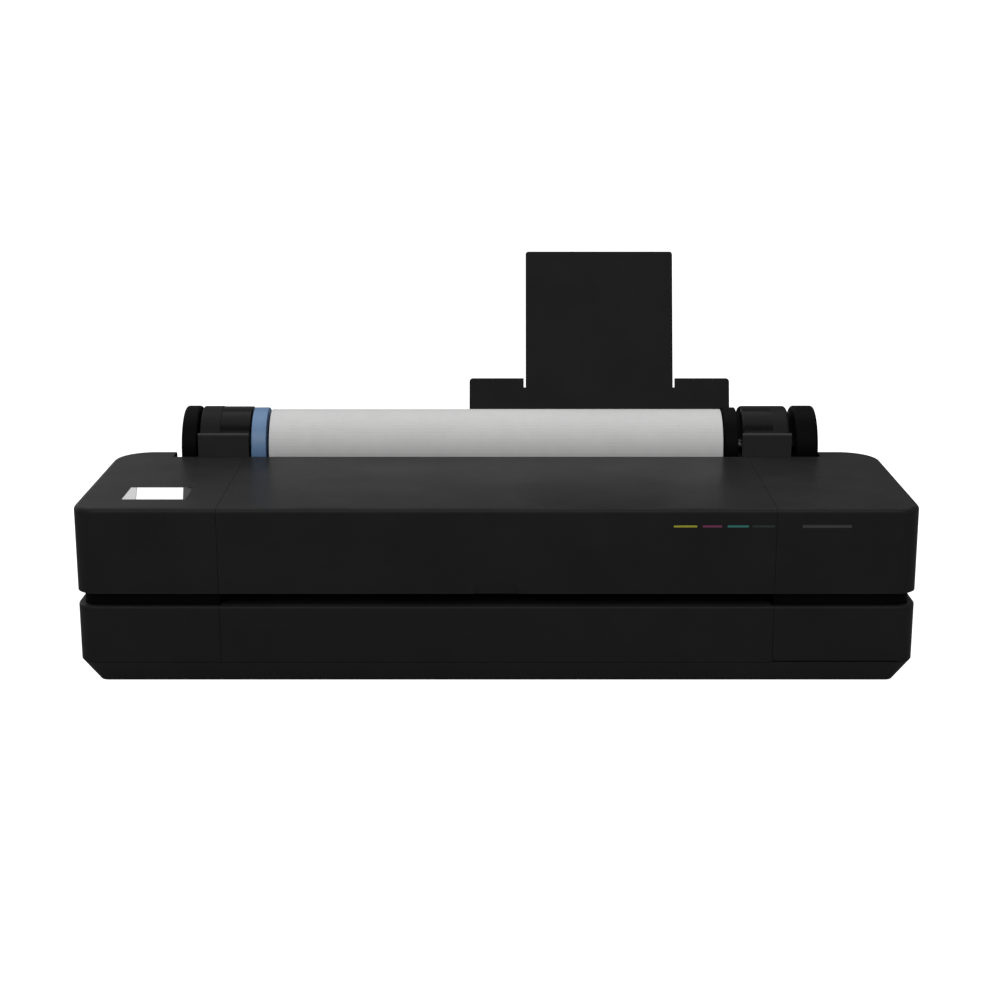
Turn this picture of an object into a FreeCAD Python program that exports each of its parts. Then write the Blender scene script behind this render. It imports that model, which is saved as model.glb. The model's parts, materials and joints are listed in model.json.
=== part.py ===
import FreeCAD, Part
import math
import os
from FreeCAD import Vector

os.makedirs("parts", exist_ok=True)

# Desktop large format plotter for 24 inch rolls, in millimetres.
# +X is to the user's right, the front faces -Y, +Z is up.
# The origin is on the table under the middle of the whole machine.

# Driving dimensions of the casing
halfWidth = 514.5
frontY = -241.0
rearY = 199.0
deckRearY = 73.0
deckZ = 225.5
rearTopZ = 189.0
upperBottomZ = 118.5
lowerTopZ = 102.0
lowerBottomZ = 30.0
baseZ = 2.0
wall = 3.0
frontCorner = 28.0
deckRearCorner = 50.0
rearCorner = 40.0
topFillet = 6.0
seamX = 338.5
seamGap = 0.25
baseInset = 17.0
baseSideInset = 5.0
ledge = 7.6
bandInset = 8.0

# The open well that the roll lies in
wellHalf = 437.0
wellFrontY = 38.5
wellRearY = 160.0
wellFloorZ = 166.0

# Roll and spindle
rollY = 98.0
rollZ = 228.0
rollRadius = 50.0
rollHalf = 305.0
sheetLeft = -308.5
sheetRight = 306.5
coreOuter = 30.0
coreInner = 26.0
shaftRadius = 10.0
discRadius = 54.9
hubRadius = 54.5
stopRadius = 52.5
cradleTopZ = 257.0
runFit = 0.05

# Sheet tray, which leans back behind the roll
trayTilt = 17.4
trayOffset = 56.5
trayLeft = -38.8
trayRight = 328.2
trayTopZ = 306.5
trayThick = 7.6
trayWall = 2.0
extensionHalf = 104.0
extensionThick = 3.0
overallRearY = 241.0
trayMiddle = (trayLeft + trayRight) / 2
trayLength = 116.0
notchWidth = 2.8
notchDepth = 13.0
guideTrackU = -63.0
pickRadius = 14.0
pickN = trayOffset - 3.4 - pickRadius
pickU = -245.0

# Paper path and printing mechanism
platenZ = 128.0
feedY = -50.0
feedZ = 116.0
feedRadius = 12.0
pinchRadius = 5.0
outY = -124.0
outZ = 116.5
outRadius = 8.0
nip = 0.4
railY = -25.0
railZ = 182.0
railRadius = 6.0
frameX = 446.0
frameThick = 4.0
parkX = 392.0
carriageHalf = 42.0
beltY = 4.0
beltZ = 178.0
beltRadius = 8.0
beltThick = 1.4
beltWidth = 8.0
motorX = -425.0
idlerX = 430.0
cutterY = -126.0
cutterRailZ = 154.0
cutterRailHalf = 3.0
axleRadius = 2.5
motorRadius = 18.0
motorLength = 14.0

# Drive from the feed motor up to the feed roller, at the far left
feedMotorY = -20.0
feedMotorZ = 74.0
feedPulley = 30.0
feedShaft = 8.0
outShaft = 5.0
motorPulleyR = 8.0
driveX = -437.0

# Lid hinge, ink door hinge and the display
lidHingeY = 30.5
lidHingeZ = deckZ - 6.5
hingePin = 2.5
doorHingeY = frontY + 4.0
doorHingeZ = lowerBottomZ + 4.2
doorRod = 1.25
doorSweep = 4.3
displayX = -421.5
displayY = -164.5
displayW = 79.0
displayD = 63.0

# Small things on the front of the lid and of the right-hand cover
markBottomZ = 202.4
markTopZ = 204.8
inkMarks = {
    "yellow": (214.0, 242.0),
    "magenta": (249.0, 272.0),
    "cyan": (279.0, 304.5),
    "black": (309.0, 336.0),
}
plateDepth = 0.8
badgeX = (369.5, 428.7)
badgeZ = (201.8, 205.4)
scoopHalf = 27.0
scoopTopZ = 132.0
scoopDeep = 1.7

# Base pan: stand holes, frame screws and door posts
standRadius = 3.2
standBoss = 8.0
standDepth = 14.0
standX = 400.0
standY = 120.0
doorPosts = (352.0, 398.0, 452.0)
screwRadius = 2.0

# Ink bay behind the ink door
cartridgeZ = 44.0
cartridgeWidth = 24.0
cartridgeHeight = 49.0
cartridgePitch = 28.5
cartridgeStart = 343.0
cartridgeFrontY = -226.0
cartridgeBackY = -116.0
cartridgeColours = ("yellow", "magenta", "cyan", "black")

# Sockets and button in the rear wall
panelX = (-475.0, -345.0)
panelZ = (44.0, 84.0)
inletX = -446.0
networkX = -412.0
usbX = -386.0
buttonX = -361.0
buttonZ = 64.0

xAxis = Vector(1, 0, 0)
yAxis = Vector(0, 1, 0)
zAxis = Vector(0, 0, 1)


def box(x0, x1, y0, y1, z0, z1):
    return Part.makeBox(x1 - x0, y1 - y0, z1 - z0, Vector(x0, y0, z0))


def barX(radius, x0, x1, y, z):
    return Part.makeCylinder(radius, x1 - x0, Vector(x0, y, z), xAxis)


def barY(radius, y0, y1, x, z):
    return Part.makeCylinder(radius, y1 - y0, Vector(x, y0, z), yAxis)


def barZ(radius, z0, z1, x, y):
    return Part.makeCylinder(radius, z1 - z0, Vector(x, y, z0), zAxis)


def extruded(profile, x0, x1):
    """Prism along X over a closed outline of (y, z) corners."""
    points = [Vector(x0, y, z) for y, z in profile]
    return Part.Face(Part.makePolygon(points + points[:1])).extrude(Vector(x1 - x0, 0, 0))


def joined(shapes):
    whole = shapes[0].multiFuse(shapes[1:]) if len(shapes) > 1 else shapes[0]
    return whole.removeSplitter()


def cut(shape, tools):
    for tool in tools:
        shape = shape.cut(tool)
    return shape


def mirrored(shape):
    return shape.mirror(Vector(0, 0, 0), xAxis)


def edgesWhere(shape, test):
    return [edge for edge in shape.Edges if test(edge.BoundBox)]


def flat(low, high):
    return abs(high - low) < 0.01


def planOutline(inset, backY, frontR, backR, sideInset=0):
    """Rounded rectangle in plan: small corners at the front, larger ones at the back."""
    half = halfWidth - inset - sideInset
    y0 = frontY + inset
    y1 = backY - inset
    rf = frontR - inset
    rb = backR - inset
    s = math.sqrt(0.5)

    def corner(cx, cy, r, sx, sy, start, end):
        middle = Vector(cx + sx * r * s, cy + sy * r * s, 0)
        return Part.Arc(start, middle, end).toShape()

    frontLeft = (Vector(-half, y0 + rf, 0), Vector(-half + rf, y0, 0))
    frontRight = (Vector(half - rf, y0, 0), Vector(half, y0 + rf, 0))
    backRight = (Vector(half, y1 - rb, 0), Vector(half - rb, y1, 0))
    backLeft = (Vector(-half + rb, y1, 0), Vector(-half, y1 - rb, 0))
    edges = [
        corner(-half + rf, y0 + rf, rf, -1, -1, *frontLeft),
        Part.LineSegment(frontLeft[1], frontRight[0]).toShape(),
        corner(half - rf, y0 + rf, rf, 1, -1, *frontRight),
        Part.LineSegment(frontRight[1], backRight[0]).toShape(),
        corner(half - rb, y1 - rb, rb, 1, 1, *backRight),
        Part.LineSegment(backRight[1], backLeft[0]).toShape(),
        corner(-half + rb, y1 - rb, rb, -1, 1, *backLeft),
        Part.LineSegment(backLeft[1], frontLeft[0]).toShape(),
    ]
    return Part.Wire(edges)


def prism(inset, backY, backR, z0, z1):
    face = Part.Face(planOutline(inset, backY, frontCorner, backR))
    face.translate(Vector(0, 0, z0))
    return face.extrude(Vector(0, 0, z1 - z0))


def upperVolume(inset, bottomZ):
    """Everything inside the upper casing: the deck in front and the low shelf behind it."""
    deck = prism(inset, deckRearY, deckRearCorner, bottomZ, deckZ - inset)
    if inset == 0:
        top = edgesWhere(deck, lambda b: b.ZMin > deckZ - 0.01)
        deck = deck.makeFillet(topFillet, top)
    shelf = prism(inset, rearY, rearCorner, bottomZ, rearTopZ - inset)
    if inset == 0:
        top = edgesWhere(shelf, lambda b: b.ZMin > rearTopZ - 0.01)
        shelf = shelf.makeFillet(wall, top)
    well = box(
        -wellHalf - inset, wellHalf + inset, wellFrontY - inset, wellRearY + inset,
        wellFloorZ - inset, deckZ + 10,
    )
    return deck.fuse(shelf).cut(well)


def upperShell():
    lip = 2.5
    outer = upperVolume(0, upperBottomZ)
    room = upperVolume(wall, upperBottomZ + lip)
    mouth = prism(ledge, rearY, rearCorner, upperBottomZ - 1, upperBottomZ + lip + 1)
    return outer.cut(room).cut(mouth)


def lowerShell():
    lip = 2.5
    outer = prism(0, rearY, rearCorner, lowerBottomZ + 0.2, lowerTopZ)
    top = edgesWhere(outer, lambda b: b.ZMin > lowerTopZ - 0.01)
    outer = outer.makeFillet(2.5, top)
    low = edgesWhere(outer, lambda b: b.ZMax < lowerBottomZ + 0.21)
    outer = outer.makeFillet(1.2, low)
    room = prism(wall, rearY, rearCorner, lowerBottomZ - 1, lowerTopZ - lip)
    mouth = prism(ledge, rearY, rearCorner, lowerTopZ - lip - 1, lowerTopZ + 1)
    return outer.cut(room).cut(mouth)


def sideOnly(shape, side):
    """Keeps the part of a casing ring that lies outside the seam on one side."""
    big = 600
    near = seamX + seamGap
    keep = box(near, big, -big, big, -big, big)
    if side < 0:
        keep = box(-big, -near, -big, big, -big, big)
    return shape.common(keep)


def middleOnly(shape, y0, y1, z0, z1):
    near = seamX - seamGap
    return shape.common(box(-near, near, y0, y1, z0, z1))


# Tray frame: u runs up the slope of the tray, n runs backwards out of its front face
tilt = math.radians(trayTilt)
slopeUp = Vector(0, math.sin(tilt), math.cos(tilt))
slopeBack = Vector(0, math.cos(tilt), -math.sin(tilt))
trayTop = (trayTopZ - rollZ + trayOffset * math.sin(tilt)) / math.cos(tilt)
extensionFront = trayOffset + trayWall + 0.3
extensionBack = extensionFront + extensionThick
extensionOut = (overallRearY - rollY - extensionBack * math.cos(tilt)) / math.sin(tilt) - trayTop


def slopeBox(x0, x1, n0, n1, u0, u1):
    """Box in the tray's frame; n is measured from the roll's axis, u from the tray's top edge."""
    block = Part.makeBox(x1 - x0, n1 - n0, u1 - u0, Vector(x0, n0, u0 + trayTop))
    block.rotate(Vector(0, 0, 0), xAxis, -trayTilt)
    block.translate(Vector(0, rollY, rollZ))
    return block


def basePan():
    low = planOutline(baseInset, rearY, frontCorner, rearCorner, baseSideInset)
    low.translate(Vector(0, 0, baseZ))
    high = planOutline(0, rearY, frontCorner, rearCorner)
    high.translate(Vector(0, 0, lowerBottomZ))
    outer = Part.makeLoft([low, high], True, True)
    low = planOutline(baseInset + wall, rearY, frontCorner, rearCorner, baseSideInset)
    low.translate(Vector(0, 0, baseZ + wall))
    high = planOutline(wall, rearY, frontCorner, rearCorner)
    high.translate(Vector(0, 0, lowerBottomZ + 1))
    pan = outer.cut(Part.makeLoft([low, high], True, True))
    bosses = [barZ(standBoss, baseZ, baseZ + standDepth, x, y) for x, y in standHoles()]
    posts = [doorPost(x) for x in doorPosts]
    pan = joined([pan] + bosses + posts + inkBay())
    holes = [barZ(standRadius, baseZ - 1, baseZ + standDepth + 1, x, y) for x, y in standHoles()]
    holes.append(barX(doorRod, doorPosts[0] - 12, doorPosts[-1] + 12, doorHingeY, doorHingeZ))
    holes += [barZ(screwRadius, baseZ - 1, baseZ + wall + 1, x, y) for x, y in screwPlaces()]
    return cut(pan, holes)


def doorPost(x):
    """Hook that holds the door's rod from behind and above, open where the door's edge turns."""
    post = box(x, x + 6, frontY + 3.6, frontY + 12, lowerBottomZ - 2.5, doorHingeZ + 3)
    return post.cut(box(
        x - 1, x + 7, doorHingeY - 2, doorHingeY + doorSweep,
        lowerBottomZ - 0.2, doorHingeZ - 0.75,
    ))


def standHoles():
    return [(sx * standX, sy * standY) for sx in (-1, 1) for sy in (-1, 1)]


def screwPlaces():
    middle = frameX + frameThick / 2
    return [(sx * (middle - 10), y) for sx in (-1, 1) for y in (-95, -30, 60, 140)]


def inkBay():
    """Shelf and dividers that the ink cartridges stand on, just behind the ink door."""
    last = cartridgeStart + len(cartridgeColours) * cartridgePitch
    y0 = cartridgeFrontY + 10
    y1 = cartridgeBackY
    shelf = box(cartridgeStart - 2, last - 1, y0, y1, cartridgeZ - 3, cartridgeZ - 0.4)
    walls = []
    for slot in range(len(cartridgeColours)):
        x = cartridgeStart + slot * cartridgePitch + cartridgeWidth + 1
        walls.append(box(x, x + 2, y0, y1, baseZ + wall - 1, cartridgeZ + 22))
    return [shelf] + walls


def frameScrews():
    """Screws that hold the feet of the two end frames down on the base pan."""
    screws = []
    for x, y in screwPlaces():
        head = barZ(4.0, baseZ + wall + 2, baseZ + wall + 4.5, x, y)
        screws.append(joined([head, barZ(screwRadius, baseZ + 0.2, baseZ + wall + 2.2, x, y)]))
    return Part.makeCompound(screws)


def rubberFeet():
    places = [(sx * 430, sy * 165 - 20) for sx in (-1, 1) for sy in (-1, 1)]
    places += [(0, -185), (0, 145)]
    feet = []
    for x, y in places:
        foot = barZ(14.0, 0, baseZ, x, y)
        low = edgesWhere(foot, lambda b: b.ZMax < 0.01)
        feet.append(foot.makeChamfer(0.8, low))
    return Part.makeCompound(feet)


def waistBand():
    depth = 6.0
    z0 = lowerTopZ - 4
    z1 = upperBottomZ + 3.5
    ring = prism(bandInset, rearY, rearCorner, z0, z1)
    ring = ring.cut(prism(bandInset + depth, rearY, rearCorner, z0 - 1, z1 + 1))
    return ring.cut(box(-seamX, seamX, frontY - 1, frontY + 60, z0 - 1, z1 + 1))


def socketHole():
    return box(*panelX, rearY - 10, rearY + 5, *panelZ)


def lowerLeftCover():
    return sideOnly(lowerShell(), -1).cut(socketHole())


def doorSplit():
    return box(seamX, 600, frontY - 5, frontY + frontCorner, 0, deckZ)


def lowerRightCover():
    return sideOnly(lowerShell(), 1).cut(doorSplit())


def inkDoor():
    shell = sideOnly(lowerShell(), 1).common(doorSplit())
    door = shell.cut(box(300, 600, frontY + frontCorner - 0.3, 0, 0, deckZ))
    gaps = [box(x - 0.5, x + 6.5, frontY + 3, frontY + 14, 0, doorHingeZ + 4) for x in doorPosts]
    knuckles = []
    for x in doorPosts:
        tube = barX(3.2, x - 9, x - 1, doorHingeY, doorHingeZ)
        rib = box(x - 9, x - 1, frontY + 2, frontY + 3.2, doorHingeZ - 1, doorHingeZ + 12)
        knuckles += [tube, rib]
    door = joined([door] + knuckles)
    edge = doorEdge()
    bore = barX(doorRod + runFit, 330, 500, doorHingeY, doorHingeZ)
    return cut(door, gaps + [bore, edge])


def doorEdge():
    """Rounds the door's bottom edge about its hinge, so that it turns clear of the base pan."""
    radius = doorHingeZ - lowerBottomZ - 0.25
    corner = box(300, 600, frontY - 1, doorHingeY, lowerBottomZ - 1, doorHingeZ)
    return corner.cut(barX(radius, 290, 610, doorHingeY, doorHingeZ))


def lowerFrontCover():
    front = middleOnly(lowerShell(), frontY - 1, frontY + 40, 0, deckZ)
    lip = box(-seamX + 1, seamX - 1, frontY + 2, frontY + 26, lowerTopZ - 2.5, lowerTopZ - 0.5)
    return joined([front, lip])


def hingePins():
    pins = []
    for side in (-1, 1):
        pin = barX(hingePin, 314, 352, lidHingeY, lidHingeZ)
        pins.append(pin if side > 0 else mirrored(pin))
    x0 = doorPosts[0] - 9
    x1 = doorPosts[-1] + 6
    pins.append(barX(doorRod, x0, x1, doorHingeY, doorHingeZ))
    return Part.makeCompound(pins)


def hingeBoss():
    """Block under the right-hand deck that holds the outer end of a lid hinge pin."""
    top = deckZ - wall + 0.5
    block = box(seamX + 2, seamX + 14, lidHingeY - 7, wellFrontY - wall, lidHingeZ - 7, top)
    return block.cut(barX(hingePin, 300, 400, lidHingeY, lidHingeZ))


def upperRightCover():
    cover = joined([sideOnly(upperShell(), 1), hingeBoss()])
    return cover.cut(badgePlate())


def upperLeftCover():
    cover = joined([sideOnly(upperShell(), -1), mirrored(hingeBoss())])
    hole = box(
        displayX - displayW / 2, displayX + displayW / 2,
        displayY - displayD / 2, displayY + displayD / 2, deckZ - 6, deckZ + 1,
    )
    return cover.cut(hole)


def badgePlate():
    return box(*badgeX, frontY, frontY + plateDepth, *badgeZ)


def inkMark(colour):
    x0, x1 = inkMarks[colour]
    return box(x0, x1, frontY, frontY + plateDepth, markBottomZ, markTopZ)


def fingerScoop():
    """Shallow slanted hollow at the bottom edge of the lid, for the fingertips."""
    profile = [
        (frontY - 1, scoopTopZ), (frontY, scoopTopZ), (frontY + scoopDeep, upperBottomZ + 1),
        (frontY + scoopDeep, upperBottomZ - 1), (frontY - 1, upperBottomZ - 1),
    ]
    return extruded(profile, -scoopHalf, scoopHalf)


def mainLid():
    near = seamX - seamGap
    lid = middleOnly(upperShell(), frontY - 1, wellFrontY - 0.2, upperBottomZ - 1, deckZ + 1)
    lid = lid.cut(box(-near, near, lidHingeY - 20, wellFrontY + 1, 0, deckZ - wall))
    ribs = []
    for x in (-250, -125, 0, 125, 250):
        ribs.append(box(x - 1, x + 1, frontY + 2.5, lidHingeY - 30, deckZ - wall - 5, deckZ - 2.5))
    arms = []
    for side in (-1, 1):
        arm = box(322, 330, lidHingeY - 6, lidHingeY + 5, lidHingeZ - 5, deckZ - 2.5)
        arms.append(arm if side > 0 else mirrored(arm))
    lid = joined([lid] + ribs + arms)
    tools = [barX(hingePin + runFit, -400, 400, lidHingeY, lidHingeZ), fingerScoop()]
    tools += [inkMark(colour) for colour in inkMarks]
    return cut(lid, tools)


def rearHousing():
    """Middle of the rear: well floor, shelf and rear wall, with the slot that the tray slides in."""
    upper = middleOnly(upperShell(), wellFrontY - wall - 0.5, rearY + 1, upperBottomZ - 1, 198)
    lower = middleOnly(lowerShell(), 100, rearY + 1, lowerBottomZ, lowerTopZ + 1)
    near = seamX - seamGap
    join = box(-near, near, rearY - wall, rearY - 0.5, lowerTopZ - 6, upperBottomZ + 6)
    slot = slopeBox(trayLeft - 2, trayRight + 2, trayOffset - 6.5, trayOffset + 13, -400, 60)
    slot = slot.common(box(-400, 400, 0, rearY - wall - 1, wellFloorZ - 10, 400))
    ramp = slopeBox(trayLeft, trayRight, trayOffset - 3, trayOffset - 0.6, -262, -186)
    legs = []
    for x in (trayLeft, trayRight - 4):
        legs.append(slopeBox(x, x + 4, trayOffset - 26, trayOffset - 0.6, -262, -150))
    legs = [leg.common(box(-400, 400, 0, 200, 0, wellFloorZ - 1)) for leg in legs]
    body = joined([upper, lower, join])
    rollSlot = box(-318, 318, wellFrontY + 1.5, wellFrontY + 7.5, wellFloorZ - 5, wellFloorZ + 1)
    y, z = pickCentre()
    bearing = barX(4.0 + runFit, trayLeft - 2, trayRight + 2, y, z)
    housing = joined([cut(body, [slot, rollSlot]), ramp] + legs)
    return housing.cut(bearing)


def rollCradles():
    cradles = []
    for x0, x1 in ((-403.0, -335.0), (331.5, 397.5)):
        block = box(x0, x1, wellFrontY + 2.5, wellRearY - 3, wellFloorZ, cradleTopZ)
        long = edgesWhere(block, lambda b: b.ZMin > cradleTopZ - 1 and flat(b.YMin, b.YMax))
        block = block.makeFillet(3.0, [edge for edge in long if edge.Length > 20])
        saddle = barX(hubRadius + 0.4, x0 - 1, x1 + 1, rollY, rollZ)
        mouth = hubRadius + 0.4
        above = box(x0 - 1, x1 + 1, rollY - mouth, rollY + mouth, rollZ, deckZ + 60)
        cradles.append(cut(block, [saddle, above]))
    return Part.makeCompound(cradles)


def roundBar(radius, x0, x1, edge, bore):
    """Bar along the roll's axis with both rims rounded, and a bore through it."""
    bar = barX(radius, x0, x1, rollY, rollZ)
    rims = edgesWhere(bar, lambda b: flat(b.XMin, b.XMax))
    bar = bar.makeFillet(edge, rims)
    return bar.cut(barX(bore, x0 - 1, x1 + 1, rollY, rollZ))


def spindleShaft():
    return barX(shaftRadius, -425.0, 433.0, rollY, rollZ)


def endDisc(x0, x1, outerFace):
    disc = roundBar(discRadius, x0, x1, 4.0, shaftRadius)
    ring = 1 if outerFace > (x0 + x1) / 2 else -1
    a, b = sorted((outerFace, outerFace - 3 * ring))
    dish = barX(discRadius - 12, a, b, rollY, rollZ).cut(barX(24, a, b, rollY, rollZ))
    return disc.cut(dish)


def leftHub():
    hub = roundBar(hubRadius, -402.0, -374.0, 2.0, shaftRadius + runFit)
    neck = roundBar(hubRadius - 0.6, -374.5, -334.5, 0.6, shaftRadius + runFit)
    return joined([hub, neck])


def rightHub():
    return roundBar(hubRadius, 332.0, 397.0, 5.0, shaftRadius + runFit)


def blueStop():
    rim = roundBar(stopRadius, -332.5, -312.5, 1.2, shaftRadius)
    boss = roundBar(coreInner - 0.5, -313.0, -292.0, 0.8, shaftRadius)
    return joined([rim, boss])


def rollFlange():
    rim = roundBar(stopRadius, 308.5, 327.0, 1.5, shaftRadius)
    boss = roundBar(coreInner - 0.5, 292.0, 309.0, 0.8, shaftRadius)
    return joined([rim, boss])


def paperCore():
    tube = barX(coreOuter, -rollHalf, rollHalf, rollY, rollZ)
    return tube.cut(barX(coreInner, -rollHalf - 1, rollHalf + 1, rollY, rollZ))


def paperRoll():
    tube = barX(rollRadius, sheetLeft, sheetRight, rollY, rollZ)
    return tube.cut(barX(coreOuter, sheetLeft - 1, sheetRight + 1, rollY, rollZ))


def sheetTray():
    """Hollow plate; the extension slides inside it and shows through a notch in its front wall."""
    back = trayOffset + trayThick
    tray = slopeBox(trayLeft, trayRight, trayOffset, back, -trayLength, 0)
    corners = edgesWhere(tray, lambda b: flat(b.XMin, b.XMax) and b.ZMin > trayTopZ - 6)
    tray = tray.makeFillet(5.0, corners)
    inside = trayMiddle - extensionHalf - 0.4, trayMiddle + extensionHalf + 0.4
    pocket = slopeBox(*inside, trayOffset + trayWall, back - trayWall, -trayLength - 1, 1)
    wide = extensionHalf + notchWidth
    window = slopeBox(
        trayMiddle - wide, trayMiddle + wide,
        trayOffset - 1, trayOffset + trayWall + 0.5, -notchDepth, 1,
    )
    notches = []
    for side in (-1, 1):
        inner = trayMiddle + side * extensionHalf
        a, b = sorted((inner, inner + side * notchWidth))
        notches.append(slopeBox(a, b, trayOffset - 1, back + 1, -notchDepth, 1))
    track = slopeBox(
        trayLeft + 6, trayMiddle + 60, trayOffset - 1, trayOffset + trayWall + 0.1,
        guideTrackU - 3, guideTrackU + 3,
    )
    return cut(tray, [pocket, window, track] + notches)


def trayExtension():
    half = extensionHalf
    blade = slopeBox(
        trayMiddle - half, trayMiddle + half, extensionFront, extensionBack,
        -28, extensionOut,
    )
    top = edgesWhere(blade, lambda b: flat(b.XMin, b.XMax) and b.ZMin > trayTopZ + 100)
    return blade.makeFillet(4.0, top)


def sheetGuide():
    """Side guide that slides across the front of the tray and keeps sheets square."""
    x = trayLeft + 8
    plate = slopeBox(x, x + 16, trayOffset - 2.0, trayOffset - 0.3, -104, -46)
    fence = slopeBox(x, x + 2.5, trayOffset - 4.0, trayOffset - 1.0, -104, -46)
    stem = slopeBox(
        x + 5, x + 12, trayOffset - 1.0, trayOffset + trayWall - 0.2,
        guideTrackU - 2.6, guideTrackU + 2.6,
    )
    return joined([plate, fence, stem])


def pickCentre():
    place = Vector(0, rollY, rollZ) + slopeBack * pickN + slopeUp * (pickU + trayTop)
    return place.y, place.z


def pickRoller():
    y, z = pickCentre()
    tyre = barX(pickRadius, trayMiddle - 25, trayMiddle + 25, y, z)
    shaft = barX(4.0, trayLeft - 1, trayRight + 1, y, z)
    return joined([tyre, shaft])


def squareRail(x0, x1, grow):
    half = cutterRailHalf + grow
    return box(x0, x1, cutterY - half, cutterY + half, cutterRailZ - half, cutterRailZ + half)


def endFrames():
    """Steel side plates that carry the rail, rollers and beam, each with a foot on the base pan."""
    outline = [
        (-108, 5), (150, 5), (150, 90), (60, 120), (33, 160), (33, 196), (-100, 206),
        (-150, 164), (-150, 98), (-108, 98),
    ]
    plates = []
    for side in (-1, 1):
        plate = extruded(outline, frameX, frameX + frameThick)
        foot = box(frameX - 20, frameX + 1, -106, 148, baseZ + wall, baseZ + wall + 2)
        plate = joined([plate, foot])
        holes = [
            barX(railRadius, 400, 500, railY, railZ),
            barX(feedShaft + runFit, 400, 500, feedY, feedZ),
            barX(outShaft + runFit, 400, 500, outY, outZ),
            barX(24.0, 400, 500, 60, 60),
            barX(20.0, 400, 500, -60, 55),
            squareRail(400, 500, 0),
        ]
        holes += [barZ(screwRadius, 0, 20, x, y) for x, y in screwPlaces() if x > 0]
        plate = cut(plate, holes)
        plates.append(plate if side > 0 else mirrored(plate))
    return Part.makeCompound(plates)


def crossBeam():
    """Folded steel beam behind the carriage."""
    y0 = 18.0
    web = box(-frameX, frameX, y0, y0 + 2, 140, 196)
    top = box(-frameX, frameX, y0 - 12, y0 + 1, 194, 196)
    low = box(-frameX, frameX, y0 - 12, y0 + 1, 140, 142)
    axle = barY(axleRadius, beltY - 5, y0 + 1, idlerX, beltZ)
    beam = joined([web, top, low, axle])
    return beam.cut(barY(4.0, y0 - 1, y0 + 3, motorX, beltZ))


def guideRails():
    """Round rail that the carriage rides on, and the small square rail of the cutter."""
    end = frameX + frameThick
    return Part.makeCompound([
        barX(railRadius, -end, end, railY, railZ),
        squareRail(-end, end, 0),
    ])


def carriage():
    x0 = parkX - carriageHalf
    x1 = parkX + carriageHalf
    body = box(x0, x1, -112, -60, 136, 200)
    body = body.cut(box(x0 + 3, x1 - 3, -109, -63, 142, 201))
    sleeve = barX(railRadius + 4, x0, x1, railY, railZ)
    bridge = box(x0, x1, -62, railY, railZ - 8, railZ)
    arm = box(parkX - 12, parkX + 12, railY - 6, beltY + 6, railZ - 16, railZ - 8)
    body = joined([body, sleeve, bridge, arm])
    runZ = beltZ - beltRadius - 0.3 - beltThick / 2
    run = box(x0, x1, beltY - 4.4, beltY + 4.4, runZ - 1.1, runZ + 1.1)
    return cut(body, [barX(railRadius + runFit, x0 - 1, x1 + 1, railY, railZ), run])


def printheads():
    heads = []
    for x in (-1, 1):
        centre = parkX + x * 19
        heads.append(box(centre - 16, centre + 16, -106, -66, 142.0, 196))
    return Part.makeCompound(heads)


def carriageBelt():
    """Flat belt loop between the motor pulley and the idler, in a vertical plane."""
    def loop(radius, y0, y1):
        run = box(motorX, idlerX, y0, y1, beltZ - radius, beltZ + radius)
        ends = [barY(radius, y0, y1, x, beltZ) for x in (motorX, idlerX)]
        return joined([run] + ends)

    y0 = beltY - beltWidth / 2
    outer = loop(beltRadius + 0.3 + beltThick, y0, y0 + beltWidth)
    return outer.cut(loop(beltRadius + 0.3, y0 - 1, y0 + beltWidth + 1))


def pulley(x, bore):
    y0 = beltY - beltWidth / 2
    wheel = barY(beltRadius, y0 + 0.5, y0 + beltWidth - 0.5, x, beltZ)
    return wheel.cut(barY(bore, y0 - 1, y0 + beltWidth + 1, x, beltZ))


def beltPulley():
    shaft = barY(axleRadius, beltY - 5, beltY + 18, motorX, beltZ)
    return joined([pulley(motorX, axleRadius - 0.1), shaft])


def idlerPulley():
    return pulley(idlerX, axleRadius + runFit)


def driveMotors():
    """Two equal motors: one drives the carriage belt, the other the feed roller."""
    bore = axleRadius + runFit
    scanY = beltY + 16.2
    feedX = driveX + 9
    scan = barY(motorRadius, scanY, scanY + motorLength, motorX, beltZ)
    scan = scan.cut(barY(bore, beltY, beltY + 22, motorX, beltZ))
    feed = barX(motorRadius, feedX, feedX + motorLength, feedMotorY, feedMotorZ)
    feed = feed.cut(barX(bore, driveX, driveX + 15, feedMotorY, feedMotorZ))
    return Part.makeCompound([scan, feed])


def motorPulley():
    wheel = barX(motorPulleyR, driveX, driveX + 6, feedMotorY, feedMotorZ)
    return joined([wheel, barX(axleRadius, driveX + 5, driveX + 13, feedMotorY, feedMotorZ)])


def tangentLoop(radiusA, radiusB, x0, x1):
    """Belt-shaped slab around the feed pulley and the motor pulley."""
    a = Vector(x0, feedY, feedZ)
    b = Vector(x0, feedMotorY, feedMotorZ)
    line = b - a
    length = line.Length
    angle = math.atan2(line.z, line.y)
    spread = math.acos((radiusA - radiusB) / length)
    corners = []
    for sign in (1, -1):
        way = Vector(0, math.cos(angle + sign * spread), math.sin(angle + sign * spread))
        corners.append((a + way * radiusA, b + way * radiusB))
    points = [corners[0][0], corners[0][1], corners[1][1], corners[1][0]]
    slab = Part.Face(Part.makePolygon(points + points[:1])).extrude(Vector(x1 - x0, 0, 0))
    discs = [barX(radiusA, x0, x1, a.y, a.z), barX(radiusB, x0, x1, b.y, b.z)]
    return joined([slab] + discs)


def feedBelt():
    big = feedPulley + 0.3
    small = motorPulleyR + 0.3
    outer = tangentLoop(big + beltThick, small + beltThick, driveX, driveX + 5)
    return outer.cut(tangentLoop(big, small, driveX - 1, driveX + 7))


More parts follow.
